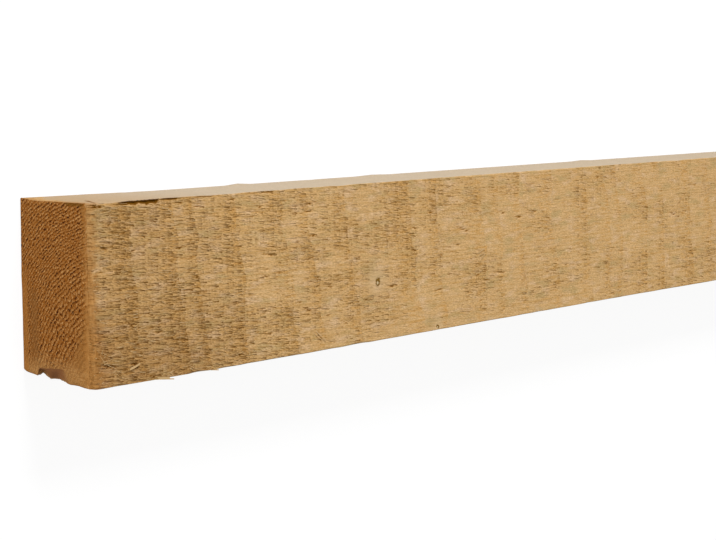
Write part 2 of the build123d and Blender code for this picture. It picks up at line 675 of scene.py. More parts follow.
def end_grid(x, first_index, step, inset):
    """An end's grid: its points, its squares and its rim in the order of the columns."""
    y = np.linspace(inset - HALF_WIDTH, HALF_WIDTH - inset, round(WIDTH / step) + 1)
    z = np.linspace(inset, THICKNESS - inset, round(THICKNESS / step) + 1)
    grid_y, grid_z = (g.ravel() for g in np.meshgrid(y, z, indexing="ij"))
    index = first_index + np.arange(len(grid_y)).reshape(len(y), len(z))
    squares = np.stack([index[:-1, :-1], index[1:, :-1], index[1:, 1:], index[:-1, 1:]], -1).reshape(-1, 4)
    rim = np.unique(np.concatenate([index[0], index[-1], index[:, 0], index[:, -1]]))
    way = ring_place(grid_y[rim - first_index], grid_z[rim - first_index])
    order = np.argsort(way)
    points = np.stack([np.full(len(grid_y), x), grid_y, grid_z], -1)
    return points, squares, rim[order], way[order]


# %% Strips between rims


def zipped(outer, outer_way, inner, inner_way):
    """Triangles between two closed rims, each given in order with its place round the section."""
    outer, inner = np.append(outer, outer[0]), np.append(inner, inner[0])
    outer_way = np.append(outer_way, outer_way[0] + 2 * HALF_ROUND)
    inner_way = np.append(inner_way, inner_way[0] + 2 * HALF_ROUND)
    triangles = []
    i = j = 0
    while i < len(outer) - 1 or j < len(inner) - 1:
        step_outer = j == len(inner) - 1 or (i < len(outer) - 1 and outer_way[i + 1] <= inner_way[j + 1])
        if step_outer:
            triangles.append((outer[i], outer[i + 1], inner[j]))
            i += 1
        else:
            triangles.append((outer[i], inner[j + 1], inner[j]))
            j += 1
    return triangles


# %% Tube and ends
grid_x, grid_around = np.meshgrid(stations, columns, indexing="ij")
grid_y, grid_z = on_section(grid_around)
tube_points = np.stack([grid_x.ravel(), grid_y.ravel(), grid_z.ravel()], -1)
tube_index = np.arange(len(tube_points)).reshape(len(stations), len(columns))
wrapped = np.concatenate([tube_index, tube_index[:, :1]], axis=1)
tube_squares = np.stack(
    [wrapped[:-1, :-1], wrapped[1:, :-1], wrapped[1:, 1:], wrapped[:-1, 1:]], -1
).reshape(-1, 4)
worn_points, worn_squares, worn_rim, worn_way = end_grid(0.0, len(tube_points), step=0.8, inset=0.5)
plain_first = len(tube_points) + len(worn_points)
plain_points, plain_squares, plain_rim, plain_way = end_grid(LENGTH, plain_first, step=2.5, inset=1.2)
worn_strip = zipped(tube_index[0], columns, worn_rim, worn_way)
plain_strip = zipped(tube_index[-1], columns, plain_rim, plain_way)
print(len(tube_squares), "squares round the tube,", len(worn_squares) + len(plain_squares), "on the ends")

# %% Make the mesh and raise its relief
sharp_points = np.concatenate([tube_points, worn_points, plain_points])
shaped_points = np.stack(shaped(*sharp_points.T), -1)
faces = [*tube_squares.tolist(), *worn_squares.tolist(), *plain_squares.tolist(), *worn_strip, *plain_strip]
plank_mesh = bpy.data.meshes.new("sawn_plank")
plank_mesh.from_pydata(shaped_points.tolist(), [], faces)
sculpt = bmesh.new()
sculpt.from_mesh(plank_mesh)
bmesh.ops.recalc_face_normals(sculpt, faces=sculpt.faces)
sculpt.to_mesh(plank_mesh)
sculpt.free()
normals = np.empty(len(plank_mesh.vertices) * 3)
plank_mesh.vertex_normals.foreach_get("vector", normals)
normals = normals.reshape(-1, 3)
relief = np.concatenate(
    [
        (face_relief(grid_x, grid_around) - tear_depth).ravel(),
        end_relief(worn_points[:, 1], worn_points[:, 2]),
        end_relief(plain_points[:, 1], plain_points[:, 2]),
    ]
)
raised = shaped_points + normals * relief[:, None]
raised[:, 2] = np.clip(raised[:, 2], 0, None)
world_points = raised * MM + np.array([plank_low.x, 0, 0])
plank_mesh.vertices.foreach_set("co", world_points.ravel())
plank_mesh.update()
triangle_count = sum(len(p.vertices) - 2 for p in plank_mesh.polygons)
print(len(plank_mesh.vertices), "points,", triangle_count, "triangles")

# %% Place the plank
SHARP_ANGLE = math.radians(32)

plank = bpy.data.objects.new("sawn_plank", plank_mesh)
bpy.context.scene.collection.objects.link(plank)
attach(plank, "root")
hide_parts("plank")
plank_mesh.polygons.foreach_set("use_smooth", np.ones(len(plank_mesh.polygons), bool))
plank_mesh.set_sharp_from_angle(angle=SHARP_ANGLE)
print(plank.name, "is", round(plank.dimensions.x, 3), "m long")

# %% Values kept on the points


def keep_on_points(mesh, name, values):
    """Stores one number per point of a mesh, for the material to read."""
    mesh.attributes.new(name, "FLOAT", "POINT").data.foreach_set("value", values.astype(np.float32))


def with_ends(tube_values):
    """The values of the tube's grid, then a 0 for each point of the two ends."""
    return np.append(tube_values.ravel(), np.zeros(len(worn_points) + len(plain_points)))


point_values = {
    "ring_count": ring_count(*shaped_points.T),
    "broken": np.clip(broken_depth(sharp_points[:, 0], sharp_points[:, 2]), 0, 1),
    "saw_phase": with_ends(saw_phase(grid_x, grid_around)),
    "torn_patch": with_ends(torn_patch(grid_x, grid_around)),
    "tear_depth": with_ends(tear_depth),
}
for name, values in point_values.items():
    keep_on_points(plank_mesh, name, values)
    print(f"{name}: {values.min():.2f} to {values.max():.2f}")

# %% [markdown]
# ## Two maps for the surface
# The map `unrolled` holds, for every corner of every face, how far along and how far round the plank it
# is, in millimetres: the material draws its saw marks in it as on a sheet of paper. The map `OFBake` packs
# the whole surface into one square for a baked texture, with most of the room given to the detailed
# stretch. Maps are stored per corner, so the seam on the underside needs no special care.

# %% Maps
face_corners = np.empty(len(plank_mesh.loops), int)
plank_mesh.loops.foreach_get("vertex_index", face_corners)
face_sizes = np.empty(len(plank_mesh.polygons), int)
plank_mesh.polygons.foreach_get("loop_total", face_sizes)
face_of_corner = np.repeat(np.arange(len(face_sizes)), face_sizes)
point_around = np.concatenate(
    [
        grid_around.ravel(),
        ring_place(worn_points[:, 1], worn_points[:, 2] + 1e-6),
        ring_place(plain_points[:, 1], plain_points[:, 2] + 1e-6),
    ]
)
corner_along = sharp_points[face_corners, 0]
corner_around = point_around[face_corners]
face_highest = np.full(len(face_sizes), -np.inf)
np.maximum.at(face_highest, face_of_corner, corner_around)
across_seam = face_highest[face_of_corner] - corner_around > HALF_ROUND
corner_around = corner_around + np.where(across_seam, 2 * HALF_ROUND, 0)


def keep_map(mesh, name, u, v):
    """Stores a map with one place per face corner."""
    layer = mesh.uv_layers.new(name=name)
    layer.data.foreach_set("uv", np.stack([u, v], -1).astype(np.float32).ravel())


keep_map(plank_mesh, "unrolled", corner_along, corner_around)
print(f"unrolled map: {np.ptp(corner_along):.0f} mm along, {np.ptp(corner_around):.0f} mm round")

# %% Baking map
SHEET_MARGIN = 0.004
NEAR_SHEET = (0.0, 0.53)
FAR_SHEET = (0.54, 0.88)
END_SHEET = (0.89, 1.0)
END_SHEET_WIDTH = 0.18


def on_sheet(share, low, high):
    """A share from 0 to 1 spread between two sides of a sheet, a little inside them."""
    return low + SHEET_MARGIN + share * (high - low - 2 * SHEET_MARGIN)


square_count = len(tube_squares)
face_numbers = np.arange(len(face_sizes))
face_furthest = np.full(len(face_sizes), -np.inf)
np.maximum.at(face_furthest, face_of_corner, corner_along)
corner_is_end = (face_numbers >= square_count)[face_of_corner]
corner_is_near = (face_furthest <= DETAILED_LENGTH + 0.01)[face_of_corner]
round_share = (corner_around + HALF_ROUND) / (2 * HALF_ROUND)
near_u = on_sheet(corner_along / DETAILED_LENGTH, 0, 1)
far_u = on_sheet((corner_along - DETAILED_LENGTH) / (LENGTH - DETAILED_LENGTH), 0, 1)
end_y, end_z = sharp_points[face_corners, 1], sharp_points[face_corners, 2]
end_start = np.where(corner_is_near, 0.0, END_SHEET_WIDTH)
end_u = on_sheet((end_y + HALF_WIDTH) / WIDTH, end_start, end_start + END_SHEET_WIDTH)
bake_u = np.where(corner_is_end, end_u, np.where(corner_is_near, near_u, far_u))
bake_v = np.where(
    corner_is_end,
    on_sheet(end_z / THICKNESS, *END_SHEET),
    np.where(corner_is_near, on_sheet(round_share, *NEAR_SHEET), on_sheet(round_share, *FAR_SHEET)),
)
keep_map(plank_mesh, "OFBake", bake_u, bake_v)
print("maps:", [layer.name for layer in plank_mesh.uv_layers])

# %% [markdown]
# ## A short way to write node trees
# A material is a net of nodes, and in code every node takes several lines. `Recipe` adds the few kinds that
# timber needs and hands each output back as a `Value`. Values are added, subtracted, multiplied and divided
# like numbers, and each such sum adds the Math node that works it out, so a finish reads like a formula.

# %% Values


class Value:
    """A node's output that can be used in sums."""

    def __init__(self, recipe, socket):
        self.recipe = recipe
        self.socket = socket

    def __add__(self, other):
        return self.recipe.math("ADD", self, other)

    def __sub__(self, other):
        return self.recipe.math("SUBTRACT", self, other)

    def __rsub__(self, other):
        return self.recipe.math("SUBTRACT", other, self)

    def __mul__(self, other):
        return self.recipe.math("MULTIPLY", self, other)

    def __truediv__(self, other):
        return self.recipe.math("DIVIDE", self, other)

    def __abs__(self):
        return self.recipe.math("ABSOLUTE", self)

    def root(self):
        """The square root."""
        return self.recipe.math("SQRT", self)

    def part(self):
        """What is left over the last whole number."""
        return self.recipe.math("FRACT", self)

    def step(self, low, high):
        """0 below low, 1 above high and a soft slope between; high may be the lower of the two."""
        fed = {"Value": self, "From Min": low, "From Max": high}
        return self.recipe.add("MapRange", fed, interpolation_type="SMOOTHSTEP")["Result"]


class Made:
    """A node that was added: its outputs, by name or number, are Values."""

    def __init__(self, recipe, node):
        self.recipe = recipe
        self.node = node

    def __getitem__(self, output):
        return Value(self.recipe, self.node.outputs[output])


# %% Recipe


class Recipe:
    """Adds nodes to one tree and joins them."""

    def __init__(self, tree):
        self.tree = tree

    def add(self, kind, inputs=(), **settings):
        """A node with its settings made and its inputs fed by name or number."""
        node = self.tree.nodes.new("ShaderNode" + kind)
        for name, value in settings.items():
            setattr(node, name, value)
        for socket, value in dict(inputs).items():
            self.feed(node.inputs[socket], value)
        return Made(self, node)

    def feed(self, socket, value):
        """Joins a Value to a socket, or writes a plain number or colour into it."""
        if isinstance(value, Value):
            self.tree.links.new(value.socket, socket)
        else:
            socket.default_value = value

    def math(self, operation, *values):
        return self.add("Math", enumerate(values), operation=operation)[0]

    def most(self, first, second):
        return self.math("MAXIMUM", first, second)

    def attribute(self, name):
        """A number kept on the mesh's points."""
        return self.add("Attribute", attribute_name=name)["Fac"]

    def place(self, x, y, z=0.0):
        return self.add("CombineXYZ", {"X": x, "Y": y, "Z": z})[0]

    def parts(self, vector):
        """A vector taken apart into its X, Y and Z."""
        return self.add("SeparateXYZ", {"Vector": vector})

    def noise(self, x, y, seed=0.0, detail=2.0, roughness=0.5):
        """Soft noise from 0 to 1, mostly near the middle, with one lump per unit of x and y."""
        fed = {"Vector": self.place(x, y, seed), "Scale": 1.0, "Detail": detail, "Roughness": roughness}
        return self.add("TexNoise", fed, noise_dimensions="3D")[0]

    def mix(self, share, first, second, blend="MIX"):
        """A colour that goes from first to second as the share goes from 0 to 1."""
        return self.add("Mix", {0: share, 6: first, 7: second}, data_type="RGBA", blend_type=blend)[2]

    def blend(self, share, first, second):
        """A number that goes from first to second as the share goes from 0 to 1."""
        return self.add("Mix", {0: share, 2: first, 3: second}, data_type="FLOAT")[0]

    def group(self, tree, **inputs):
        """A copy of a node group, its sockets fed by name with spaces written as underscores."""
        made = self.add("Group", node_tree=tree)
        for name, value in inputs.items():
            self.feed(made.node.inputs[name.replace("_", " ")], value)
        return made


# %% [markdown]
# ## Node groups
# A group is a small tree with named sockets, built once and placed wherever it is needed. `node_group` makes
# the sockets and joins them, so that each group below is one function: it takes the inputs and hands back
# the outputs by name.

# %% Node group maker


def node_group(name, inputs, build):
    """A node group of numbers; `build` gets a recipe and the inputs, and returns the outputs by name."""
    tree = bpy.data.node_groups.new(name, "ShaderNodeTree")
    for socket in inputs:
        tree.interface.new_socket(socket, in_out="INPUT", socket_type="NodeSocketFloat")
    recipe = Recipe(tree)
    entry = Made(recipe, tree.nodes.new("NodeGroupInput"))
    outputs = build(recipe, *(entry[socket] for socket in inputs))
    for socket in outputs:
        tree.interface.new_socket(socket, in_out="OUTPUT", socket_type="NodeSocketFloat")
    result = tree.nodes.new("NodeGroupOutput")
    for socket, value in outputs.items():
        recipe.feed(result.inputs[socket], value)
    print(f"group {name}: {len(tree.nodes)} nodes")
    return tree


# %% [markdown]
# ## Group: where on the plank
# Every finish below asks the same question first: how far along and round the plank is this spot? The
# group reads the unrolled map once and hands out plain millimetres.

# %% Plank place group


def plank_place(recipe):
    """Millimetres along the plank from its worn end, and round its section."""
    unrolled = recipe.parts(recipe.add("UVMap", uv_map="unrolled")["UV"])
    return {"Along": unrolled["X"], "Around": unrolled["Y"]}


PLANK_PLACE = node_group("plank place", (), plank_place)

# %% [markdown]
# ## Group: growth rings
# Spring wood is pale and soft, and each ring ends in a thin dark line of summer wood. The count of rings
# is already on the mesh's points, where the relief used it, so the group only takes its fraction and shapes
# each ring: a slow rise and a sudden end. One random number per ring keeps neighbours apart.

# %% Growth ring group


def growth_rings(recipe, wobble):
    """Dark summer wood and pale spring wood from 0 to 1, and a random tone for each ring."""
    rings = recipe.attribute("ring_count") + wobble
    part = rings.part()
    number = recipe.math("FLOOR", rings)
    return {
        "Summer wood": part.step(0.40, 0.80) * part.step(1.0, 0.90),
        "Spring wood": part.step(0.0, 0.12) * part.step(0.42, 0.24),
        "Ring tone": recipe.add("TexWhiteNoise", {"W": number}, noise_dimensions="1D")["Value"],
    }


GROWTH_RINGS = node_group("growth rings", ("Wobble",), growth_rings)

# %% [markdown]
# ## Group: fibre streaks
# Softwood is a bundle of straws, so any noise on it is drawn out along the grain. The group stretches
# noise by a chosen length and thickness; the plank uses it for its streaks and the loose fibres for
# their tone.

# %% Fibre streak group


def fibre_streaks(recipe, along, around, length, thickness):
    """Noise from 0 to 1 drawn out along the grain."""
    noise = recipe.noise(along / length, around / thickness, detail=3.0, roughness=0.6)
    return {"Streak": noise.step(0.25, 0.75)}


FIBRE_STREAKS = node_group("fibre streaks", ("Along", "Around", "Length", "Thickness"), fibre_streaks)


def streaks(recipe, along, around, length, thickness):
    """Streaks about so many millimetres long and thick."""
    sizes = {"Length": length, "Thickness": thickness}
    return recipe.group(FIBRE_STREAKS, Along=along, Around=around, **sizes)["Streak"]


# %% [markdown]
# ## Group: saw tears
# The small tears are wedges: a thin tail, then wider and darker up to a blunt head at a saw line. A Voronoi
# texture scatters one point per cell, and the offset from that point says where in its wedge a spot is.
# The cell's random colour decides whether its tear is there at all: likely just before a saw line and in
# a torn patch, unlikely elsewhere.

# %% Saw tear group


def saw_tears(recipe, along, around, phase, patch, length, width, thickness):
    """How much of a small torn wedge a spot is in, from 0 to 1."""
    wobble = recipe.noise(along / 22, around / 6) * 3.0
    leaning = around + along * -TEAR_SLANT + wobble
    u, v = along / length, leaning / width
    fed = {"Vector": recipe.place(u, v), "Scale": 1.0, "Randomness": 1.0}
    cells = recipe.add("TexVoronoi", fed, voronoi_dimensions="2D")
    middle, chance = recipe.parts(cells["Position"]), recipe.parts(cells["Color"])
    ahead, aside = u - middle["X"], abs(v - middle["Y"])
    near_line = phase.part().step(0.35, 0.95) * 0.44 + 0.57
    there = (near_line * patch - chance["X"]).step(0.0, 0.25)
    run = recipe.add("Clamp", {"Value": ahead * 1.25 + 0.6})[0]
    half = run.root() * thickness * (chance["Y"] * 0.8 + 0.5)
    wedge = (aside - half).step(0.06, -0.06) * ahead.step(0.36, 0.28)
    return {"Tear": wedge * there * (run * 0.7 + 0.3)}


TEAR_SOCKETS = ("Along", "Around", "Phase", "Patch", "Length", "Width", "Thickness")
SAW_TEARS = node_group("saw tears", TEAR_SOCKETS, saw_tears)

# %% [markdown]
# ## Group: pin knot
# A pin knot is a thin twig cut across: a dark ring of bark with a pale heart, in wood that swells a little
# around it. It is drawn as distances from one spot on the unrolled face.

# %% Pin knot group


def pin_knot(recipe, along, around, knot_along, knot_around, half_length, half_width):
    """The dark ring, the pale heart and the smooth halo of one small knot."""
    x, y = (along - knot_along) / half_length, (around - knot_around) / half_width
    ragged = recipe.noise(along * 0.7, around * 0.7, detail=3.0) - 0.5
    far = (x * x + y * y).root() + ragged * 1.6
    off_x, off_y = x + 0.15, y + 0.25
    heart = (off_x * off_x + off_y * off_y).root().step(0.55, 0.15)
    return {"Ring": far.step(1.3, 0.75) - heart, "Heart": heart, "Halo": far.step(7.0, 1.0)}


KNOT_SOCKETS = ("Along", "Around", "Knot along", "Knot around", "Half length", "Half width")
PIN_KNOT = node_group("pin knot", KNOT_SOCKETS, pin_knot)

# %% [markdown]
# ## Side grain
# The long faces are pale spring wood with faint summer lines, and over that lie the marks of sawing: warm
# patches up to each saw line, greyer and paler ones just past it, streaks of fibre, and scratches across
# the grain. An image could hold all that, but noise drawn out along the grain covers every side alike and
# stays sharp close up. A finish is a colour, a height for the bump and a roughness.

# %% Patches of colour


class Finish(NamedTuple):
    """What a finish gives the shader: a colour, a height in millimetres and a roughness."""

    colour: Value
    height: Value
    roughness: Value


class Tint(NamedTuple):
    """Patches of a colour: size, seed, the noise where they start and are full, and two strengths."""

    colour: tuple
    length: float
    width: float
    seed: float
    start: float
    full: float
    past_line: float
    before_line: float


RUST = Tint((0.550, 0.325, 0.120, 1), 22, 7, 0.0, 0.30, 0.70, past_line=0.35, before_line=0.60)
WARM = Tint((0.570, 0.320, 0.105, 1), 5, 1.4, 23.0, 0.44, 0.62, past_line=0.10, before_line=0.70)
GREY = Tint((0.450, 0.330, 0.155, 1), 14, 5, 7.0, 0.48, 0.70, past_line=0.68, before_line=0.28)
PALE = Tint((0.650, 0.455, 0.275, 1), 10, 4, 17.0, 0.48, 0.70, past_line=0.765, before_line=0.315)


def patches(recipe, along, around, tint):
    """Where the patches of a tint are, from 0 to 1."""
    noise = recipe.noise(along / tint.length, around / tint.width, tint.seed)
    return noise.step(tint.start, tint.full)


def tinted(recipe, colour, share, by_line, tint):
    """A colour with a tint over it, as strong as the way to the next saw line says."""
    strength = recipe.blend(by_line, tint.past_line, tint.before_line)
    return recipe.mix(share * strength, colour, tint.colour)


print("tints:", [tint.colour[:3] for tint in (RUST, WARM, GREY, PALE)])

# %% Sawn face
SPRING_WOOD = (0.622, 0.414, 0.204, 1)
SUMMER_WOOD = (0.500, 0.285, 0.085, 1)
GRAIN_LINE = (0.400, 0.215, 0.055, 1)
DARK_FIBRES = (0.780, 0.730, 0.625, 1)
LIGHT_FIBRES = (1.290, 1.290, 1.290, 1)
SCRATCH_SLANT = 0.12


def sawn_face(recipe, along, around):
    """The finish of the long faces, still without tears."""
    bend = recipe.noise(along / 60, around / 20, 2.0) * 6.0
    leaning = around + along * -TEAR_SLANT + bend
    streak = streaks(recipe, along, leaning, length=9.0, thickness=0.50)
    fine = streaks(recipe, along, leaning, length=1.5, thickness=0.40)
    scratch = streaks(recipe, around, along + around * SCRATCH_SLANT, length=3.0, thickness=0.7)
    rings = recipe.group(GROWTH_RINGS, Wobble=0.0)
    summer = rings["Summer wood"] * (rings["Ring tone"] * 0.4 + 0.15)
    colour = recipe.mix(summer, SPRING_WOOD, SUMMER_WOOD)
    by_line = recipe.attribute("saw_phase").part().step(0.35, 0.95)
    rust = (patches(recipe, along, around, RUST) * 0.5 + recipe.attribute("torn_patch")).step(0.45, 1.2)
    colour = tinted(recipe, colour, rust, by_line, RUST)
    for tint in (WARM, GREY, PALE):
        colour = tinted(recipe, colour, patches(recipe, along, around, tint), by_line, tint)
    colour = recipe.mix(streak.step(0.5, 0.9) * 0.5, colour, GRAIN_LINE)
    colour = recipe.mix(1.0, colour, recipe.mix(fine, DARK_FIBRES, LIGHT_FIBRES), blend="MULTIPLY")
    colour = recipe.mix(scratch * 0.35, colour, DARK_FIBRES, blend="MULTIPLY")
    return Finish(colour, (streak + fine) * 0.05, fine * -0.14 + 0.90)


print("side grain between", SPRING_WOOD[:3], "and", SUMMER_WOOD[:3])

# %% [markdown]
# ## Tears in the side grain
# The dark of a tear is partly dirt and partly its shade. The bump gives some of that shade, and the rest is
# painted shade in the tears' colours, strongest in the deepest pits. The deep ones come from the mesh, which
# keeps their depth on its points; the small ones come from the tear group in three sizes. Near the worn end
# the torn wood has gone dark, and further on it is fresh.

# %% Tears and darkening near the end
# Tear colours are dirty torn wood with painted shade in them; the third is a warm painted shade for shallow
# pits.
TORN_WOOD_AND_SHADE = (0.160, 0.062, 0.004, 1)
FRESH_TEAR_AND_SHADE = (0.262, 0.116, 0.019, 1)
SHALLOW_TEAR_AND_SHADE = (0.410, 0.205, 0.050, 1)
NEAR_END_DARKENING = (0.800, 0.745, 0.685, 1)
BROWN_STAIN = (0.800, 0.660, 0.500, 1)


class TearSize(NamedTuple):
    """Tears of one size: length, spacing, thickness as a share of the spacing, darkness (dirt and painted
    shade) and depth.
    """

    length: float
    spacing: float
    thickness: float
    dark: float
    deep: float


TEAR_SIZES = (
    TearSize(6.5, 1.0, 0.20, dark=0.95, deep=0.30),
    TearSize(3.4, 0.65, 0.24, dark=0.8, deep=0.17),
    TearSize(1.5, 0.45, 0.30, dark=0.6, deep=0.07),
)


def with_tears(recipe, along, around, finish):
    """The same finish with its tears, deep and small, in colours of dirt and painted shade."""
    phase, patch = recipe.attribute("saw_phase"), recipe.attribute("torn_patch")
    depth = recipe.attribute("tear_depth")
    torn, height = depth.step(0.20, 0.45) * 0.95, finish.height
    for size in TEAR_SIZES:
        sizes = {"Length": size.length, "Width": size.spacing, "Thickness": size.thickness}
        tear = recipe.group(SAW_TEARS, Along=along, Around=around, Phase=phase, Patch=patch, **sizes)["Tear"]
        torn = recipe.most(torn, tear * size.dark)
        height = height - tear * size.deep
    # Shallow pits: a warm painted shade.
    colour = recipe.mix(depth.step(0.05, 0.25) * 0.6, finish.colour, SHALLOW_TEAR_AND_SHADE)
    # Small tears: dirt and the painted shade of their grooves.
    colour = recipe.mix(torn, colour, recipe.mix(along.step(60.0, 180.0), TORN_WOOD_AND_SHADE, FRESH_TEAR_AND_SHADE))
    # Deep pits: darker still, painted shade in the recess over dirt.
    colour = recipe.mix(depth.step(0.30, 0.55) * 0.9, colour, TORN_WOOD_AND_SHADE)
    return Finish(colour, height, finish.roughness)


def darker_near_end(recipe, along, around, finish):
    """The same finish, darker towards the worn end, most of all at its right corner, and stained brown at
    the end.
    """
    right_corner = along.step(110.0, 20.0) * around.step(0.0, -36.0)
    # Darker towards the worn end, most of all at its right corner.
    darker_share = along.step(110.0, 0.0) * 0.45 + right_corner * 0.8
    stained = along.step(15.0, 3.0) * around.step(8.0, -26.0)
    colour = recipe.mix(darker_share, finish.colour, NEAR_END_DARKENING, blend="MULTIPLY")
    return finish._replace(colour=recipe.mix(stained, colour, BROWN_STAIN, blend="MULTIPLY"))


print("small tears in", len(TEAR_SIZES), "sizes")

# %% [markdown]
# ## Knots and a crack
# Two pin knots sit in the wide face, and a short crack crosses the left edge to the upper arris, beside the
# worn end. They are too few to scatter, so each is listed by its place on the unrolled plank.

# %% Knots and crack
KNOT_RING = (0.190, 0.098, 0.016, 1)
KNOT_HEART = (0.620, 0.480, 0.280, 1)
KNOT_HALO = (0.640, 0.440, 0.235, 1)


class Knot(NamedTuple):
    """A pin knot on a long face: its place on the unrolled plank and its half sizes, in millimetres."""

    along: float
    around: float
    half_length: float
    half_width: float


KNOTS = (
    Knot(164.4, -9.5, 1.5, 2.0),
    Knot(206.2, -35.8, 1.0, 1.0),
)
CORNER_CRACK = ((11.6, 54.4), (4.0, 37.2))
CRACK_HALF_WIDTH = 1.0


def with_knots(recipe, along, around, finish):
    """The same finish with the pin knots added."""
    for knot in KNOTS:
        sizes = {"Half_length": knot.half_length, "Half_width": knot.half_width}
        centre = {"Knot_along": knot.along, "Knot_around": knot.around}
        parts = recipe.group(PIN_KNOT, Along=along, Around=around, **centre, **sizes)
        colour = recipe.mix(parts["Halo"] * 0.5, finish.colour, KNOT_HALO)
        colour = recipe.mix(parts["Ring"], colour, KNOT_RING)
        colour = recipe.mix(parts["Heart"], colour, KNOT_HEART)
        finish = Finish(colour, finish.height - parts["Ring"] * 0.1, finish.roughness)
    return finish


def crack_line(recipe, along, around, start, end):
    """1 in the middle of a straight crack between two places on the unrolled plank, 0 beside it."""
    length = math.dist(start, end)
    run_along, run_around = (end[0] - start[0]) / length, (end[1] - start[1]) / length
    from_along, from_around = along - start[0], around - start[1]
    forward = from_along * run_along + from_around * run_around
    aside = from_along * run_around - from_around * run_along
    wander = (recipe.noise(along * 0.5, around * 0.5, 15.0) - 0.5) * 2.0
    within = forward.step(0.0, 2.0) * forward.step(length, length - 2.0)
    return within * abs(aside + wander).step(CRACK_HALF_WIDTH, 0.4 * CRACK_HALF_WIDTH)


print(len(KNOTS), "knots, and a crack", round(math.dist(*CORNER_CRACK), 1), "mm long")

# %% [markdown]
# ## End grain
# On the ends the rings are arcs, and each dark line breaks up into beads, because the saw tore every bundle
# of straws a little differently. Noise laid along and across the arcs gives the beads, and finer noise the
# fuzz of cut straws, whose pale specks are partly the wood's own colour and partly painted highlights.

# %% Rings of the end
END_SPRING = (0.295, 0.096, 0.011, 1)
END_SUMMER = (0.045, 0.008, 0.001, 1)
# Pale of cut straws on the end, partly the wood's own and partly painted highlight.
END_PALE_AND_HIGHLIGHT = (0.650, 0.360, 0.130, 1)
MEAN_RING_RADIUS = 92.0
BEAD_LENGTH = 1.0
BEAD_WIDTH = 0.8


def ringed_end(recipe, y, z):
    """The finish of an end with its rings, and the fuzz of cut straws on it, its pale specks partly painted
    highlights.
    """
    shaky = recipe.noise(y * 0.5, z * 0.5, 1.0, detail=4.0, roughness=0.6)
    rings = recipe.group(GROWTH_RINGS, Wobble=(shaky - 0.5) * 2.0)
    along_ring = recipe.math("ARCTAN2", z - HEART_Z, y - HEART_Y) * (MEAN_RING_RADIUS / BEAD_LENGTH)
    across_ring = recipe.attribute("ring_count") / BEAD_WIDTH
    bead_noise = recipe.noise(along_ring, across_ring, roughness=0.6)
    beads = bead_noise.step(0.42, 0.58)
    fuzz = recipe.noise(y * 1.6, z * 1.6, 3.0, detail=3.0, roughness=0.65).step(0.35, 0.65)
    blotch = recipe.noise(y / 5, z / 5, 11.0).step(0.35, 0.65)
    line = rings["Summer wood"] * (beads * 0.95 + 0.1) * (blotch * 0.5 + 0.5)
    dark = line + beads * fuzz * 0.5
    colour = recipe.mix(dark.step(0.0, 1.0), END_SPRING, END_SUMMER)
    loose = fuzz.step(0.45, 1.0) * (1.0 - rings["Summer wood"])
    beside = rings["Spring wood"] * bead_noise.step(0.52, 0.40)
    # Pale specks: cut straws, partly painted highlights.
    colour = recipe.mix(recipe.most(loose * 0.6, beside * 0.75), colour, END_PALE_AND_HIGHLIGHT)
    return Finish(colour, fuzz * 0.10 - dark * 0.14, fuzz * 0.12 + 0.80), fuzz


print(f"beads {BEAD_LENGTH} mm long and {BEAD_WIDTH} of a ring wide")

# %% [markdown]
# ## Wear of the end
# The end has its own wear. Its right part is straw-coloured, a band below the worn arris is rubbed smooth
# and widens to the right, one place is stained, and a thin strip along the underside is paler. Down the
# upper part of its left edge lies a painted shadow, as under overhanging fibres. These lie over the rings as
# masks of y and z, with noise to keep their borders ragged.

# %% Wear of the end
END_STRAW = (0.420, 0.200, 0.058, 1)
END_STRIP = (0.420, 0.170, 0.035, 1)
STAINED_END = (0.250, 0.105, 0.026, 1)
RUBBED_END = (0.350, 0.152, 0.036, 1)
RUBBED_PALE = (0.500, 0.250, 0.078, 1)
RUBBED_BAND = 4.0
RUBBED_BAND_GROWTH = 12.0
STAIN_Y, STAIN_Z = -14.0, 9.0


def worn_end(recipe, y, z, colour, fuzz):
    """An end's colour with its straw, its rubbed band, its stain, its pale strip and a painted shadow under
    its left edge.
    """
    ragged = (recipe.noise(y / 9, z / 9, 5.0) - 0.5) * 8.0
    right_part = (y + ragged).step(-24.0, -33.0)
    # Pale fuzz in the straw part, partly painted highlight.
    straw = recipe.mix(0.65, END_STRAW, recipe.mix(fuzz, STAINED_END, END_PALE_AND_HIGHLIGHT))
    colour = recipe.mix(right_part * 0.75, colour, straw)
    band = y.step(-8.0, -34.0) * RUBBED_BAND_GROWTH + RUBBED_BAND
    drawn_out = recipe.noise(y / 0.8, z / 7, 9.0)
    streaky = ragged * 0.3 + (drawn_out - 0.5) * 12.0
    down = (THICKNESS - z + streaky) / band
    lines = (drawn_out + (fuzz - 0.5) * 0.2).step(0.35, 0.65)
    smooth_wood = recipe.mix(lines, RUBBED_END, recipe.mix(right_part, RUBBED_END, RUBBED_PALE))
    colour = recipe.mix(down.step(1.2, 0.25) * 0.8, colour, smooth_wood)
    stain = abs(z - STAIN_Z).step(4.5, 1.0) * abs(y - STAIN_Y).step(20.0, 8.0)
    colour = recipe.mix(stain * 0.6, colour, STAINED_END)
    strip = z.step(4.6, 3.2) * y.step(16.0, 0.0)
    colour = recipe.mix(strip * 0.7, colour, END_STRIP)
    # A painted shadow along the upper part of the left edge, as under the arris's overhanging fibres.
    shadow_under_left_edge = y.step(HALF_WIDTH - 1.6, HALF_WIDTH - 1.1) * z.step(31.0, 34.0) * z.step(46.0, 43.0)
    return recipe.mix(shadow_under_left_edge * 0.7, colour, TORN_WOOD_AND_SHADE)


print("rubbed band", RUBBED_BAND, "to", RUBBED_BAND + RUBBED_BAND_GROWTH, "mm wide")

